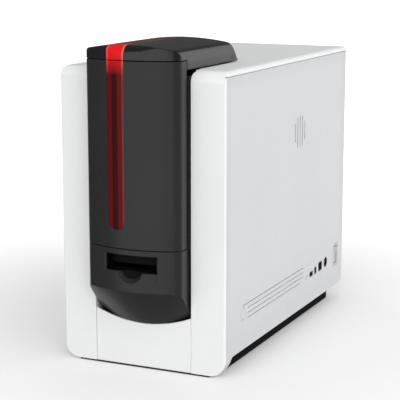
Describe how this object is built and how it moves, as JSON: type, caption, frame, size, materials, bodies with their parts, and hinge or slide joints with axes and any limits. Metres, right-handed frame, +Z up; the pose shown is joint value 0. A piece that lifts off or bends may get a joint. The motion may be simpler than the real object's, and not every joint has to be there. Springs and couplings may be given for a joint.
{
  "type": "card printer",
  "caption": "Desk-top plastic card printer with a hinged feeder hood, feeder door, side service door, card slot, print and transfer rollers.",
  "frame": {"origin": "middle of the footprint's bounding box, on the surface that the feet stand on", "axes": "+Z up, -Y the front with the card feeder, +X the side with the sockets"},
  "size_m": [0.205, 0.443, 0.371],
  "materials": {
    "white_shell": "smooth satin white moulding",
    "white_panel": "fine-grained white moulding",
    "charcoal_cover": "satin charcoal moulding",
    "red_window": "clear bright red",
    "dark_red_window": "smoked red",
    "black_plastic": "plain black moulding",
    "foot_rubber": "soft black",
    "roller_rubber": "ground rubber on steel shaft",
    "tacky_blue": "tacky silicone",
    "heat_red": "heat-proof silicone",
    "steel_plate": "zinc-plated sheet",
    "steel_rod": "turned steel",
    "head_alloy": "milled alloy",
    "ribbon_black": "wound ribbon",
    "clear_film": "wound film",
    "motor_case": "painted steel",
    "brass_gear": "cut brass",
    "nylon_gear": "moulded nylon",
    "green_board": "solder mask",
    "socket_metal": "plated sheet",
    "grey_rocker": "light grey moulding"
  },
  "bodies": {
    "chassis": {"housing": "white_shell", "centre_fascia": "white_shell", "right_panel": "white_panel", "rear_cover": "white_panel", "base_tray": "black_plastic", "front_foot": "foot_rubber", "rear_feet": "foot_rubber", "tower_frame": "charcoal_cover", "hood_hinge_pins": "steel_rod", "door_hinge_pins": "steel_rod", "slot_module": "charcoal_cover", "exit_guide": "black_plastic", "left_plate": "steel_plate", "right_plate": "steel_plate", "tie_bars": "steel_rod", "head_shaft": "steel_rod", "motor": "motor_case", "idler_stud": "steel_rod", "fan_frame": "black_plastic", "main_board": "green_board", "usb_a_socket": "socket_metal", "usb_b_socket": "socket_metal", "network_socket": "socket_metal", "power_socket": "black_plastic", "switch_frame": "grey_rocker", "service_hinge_pins": "steel_rod", "board_screws": "steel_rod"},
    "hood": {"hood": "charcoal_cover", "hood_window": "red_window"},
    "feeder_door": {"feeder_door": "charcoal_cover", "door_window": "dark_red_window", "light_bar": "green_board"},
    "service_door": {"service_door": "white_panel"},
    "card_weight": {"card_weight": "steel_rod"},
    "pick_roller": {"pick_roller": "roller_rubber"},
    "exit_roller": {"exit_roller": "roller_rubber"},
    "feed_roller": {"feed_roller": "roller_rubber"},
    "cleaning_roller": {"cleaning_roller": "tacky_blue"},
    "flipper": {"flipper": "black_plastic"},
    "drive_roller": {"drive_roller": "roller_rubber", "drive_gear": "nylon_gear"},
    "pinch_roller": {"pinch_roller": "roller_rubber"},
    "heat_roller": {"heat_roller": "heat_red"},
    "pressure_roller": {"pressure_roller": "roller_rubber"},
    "platen_roller": {"platen_roller": "roller_rubber"},
    "print_head": {"print_head": "head_alloy"},
    "ribbon_supply": {"ribbon_supply": "ribbon_black"},
    "ribbon_takeup": {"ribbon_takeup": "ribbon_black"},
    "film_supply": {"film_supply": "clear_film"},
    "film_takeup": {"film_takeup": "clear_film"},
    "motor_pinion": {"motor_pinion": "brass_gear"},
    "idler_gear": {"idler_gear": "nylon_gear"},
    "fan_rotor": {"fan_rotor": "black_plastic"},
    "power_switch": {"power_switch": "grey_rocker"}
  },
  "joints": [
    {"name": "hood_hinge", "type": "hinge", "parent": "chassis", "child": "hood", "pos_m": [0, -0.0685, 0.349], "axis": [-1, 0, 0], "range_deg": [0, 65]},
    {"name": "feeder_door_hinge", "type": "hinge", "parent": "chassis", "child": "feeder_door", "pos_m": [-0.0535, -0.194, 0.252], "axis": [0, 0, -1], "range_deg": [0, 95]},
    {"name": "service_door_hinge", "type": "hinge", "parent": "chassis", "child": "service_door", "pos_m": [-0.0975, 0.2071, 0.182], "axis": [0, 0, -1], "range_deg": [0, 100]},
    {"name": "power_switch_rock", "type": "hinge", "parent": "chassis", "child": "power_switch", "pos_m": [0.0971, 0.1853, 0.0635], "axis": [0, -1, 0], "range_deg": [0, 14]},
    {"name": "card_weight_slide", "type": "slide", "parent": "chassis", "child": "card_weight", "axis": [0, 0, 1], "range_m": [0, 0.15]},
    {"name": "print_head_lift", "type": "hinge", "parent": "chassis", "child": "print_head", "pos_m": [0, 0.1315, 0.268], "axis": [1, 0, 0], "range_deg": [0, 12], "stiffness_Nm_per_rad": 0.5, "springref_deg": -5.73},
    {"name": "pick_roller_spin", "type": "hinge", "parent": "chassis", "child": "pick_roller", "pos_m": [0, -0.1165, 0.1506], "axis": [1, 0, 0], "continuous": true},
    {"name": "exit_roller_spin", "type": "hinge", "parent": "chassis", "child": "exit_roller", "pos_m": [0, -0.1265, 0.1154], "axis": [1, 0, 0], "continuous": true},
    {"name": "feed_roller_spin", "type": "hinge", "parent": "chassis", "child": "feed_roller", "pos_m": [0, -0.0665, 0.152], "axis": [1, 0, 0], "continuous": true},
    {"name": "cleaning_roller_spin", "type": "hinge", "parent": "chassis", "child": "cleaning_roller", "pos_m": [0, -0.0665, 0.17], "axis": [1, 0, 0], "continuous": true},
    {"name": "flipper_spin", "type": "hinge", "parent": "chassis", "child": "flipper", "pos_m": [0, -0.0065, 0.1604], "axis": [1, 0, 0], "continuous": true},
    {"name": "drive_roller_spin", "type": "hinge", "parent": "chassis", "child": "drive_roller", "pos_m": [0, 0.0455, 0.152], "axis": [1, 0, 0], "continuous": true},
    {"name": "pinch_roller_spin", "type": "hinge", "parent": "chassis", "child": "pinch_roller", "pos_m": [0, 0.0455, 0.167], "axis": [1, 0, 0], "continuous": true},
    {"name": "heat_roller_spin", "type": "hinge", "parent": "chassis", "child": "heat_roller", "pos_m": [0, 0.0785, 0.175], "axis": [1, 0, 0], "continuous": true},
    {"name": "pressure_roller_spin", "type": "hinge", "parent": "chassis", "child": "pressure_roller", "pos_m": [0, 0.0785, 0.15], "axis": [1, 0, 0], "continuous": true},
    {"name": "platen_roller_spin", "type": "hinge", "parent": "chassis", "child": "platen_roller", "pos_m": [0, 0.1135, 0.23], "axis": [1, 0, 0], "continuous": true},
    {"name": "ribbon_supply_spin", "type": "hinge", "parent": "chassis", "child": "ribbon_supply", "pos_m": [0, 0.1585, 0.207], "axis": [1, 0, 0], "continuous": true},
    {"name": "ribbon_takeup_spin", "type": "hinge", "parent": "chassis", "child": "ribbon_takeup", "pos_m": [0, 0.1585, 0.292], "axis": [1, 0, 0], "continuous": true},
    {"name": "film_supply_spin", "type": "hinge", "parent": "chassis", "child": "film_supply", "pos_m": [0, 0.0355, 0.285], "axis": [1, 0, 0], "continuous": true},
    {"name": "film_takeup_spin", "type": "hinge", "parent": "chassis", "child": "film_takeup", "pos_m": [0, 0.0275, 0.22], "axis": [1, 0, 0], "continuous": true},
    {"name": "motor_pinion_spin", "type": "hinge", "parent": "chassis", "child": "motor_pinion", "pos_m": [0, 0.09486, 0.10719], "axis": [1, 0, 0], "continuous": true},
    {"name": "idler_gear_spin", "type": "hinge", "parent": "chassis", "child": "idler_gear", "pos_m": [0, 0.06871, 0.12229], "axis": [1, 0, 0], "continuous": true},
    {"name": "fan_rotor_spin", "type": "hinge", "parent": "chassis", "child": "fan_rotor", "pos_m": [0, 0.042, 0.25], "axis": [1, 0, 0], "continuous": true}
  ],
  "couplings": [
    {"joint": "drive_roller_spin", "follows": "idler_gear_spin", "ratio": -1.5},
    {"joint": "motor_pinion_spin", "follows": "idler_gear_spin", "ratio": -3},
    {"joint": "pinch_roller_spin", "follows": "idler_gear_spin", "ratio": 2},
    {"joint": "cleaning_roller_spin", "follows": "feed_roller_spin", "ratio": -0.88889},
    {"joint": "pressure_roller_spin", "follows": "heat_roller_spin", "ratio": -1.4}
  ]
}
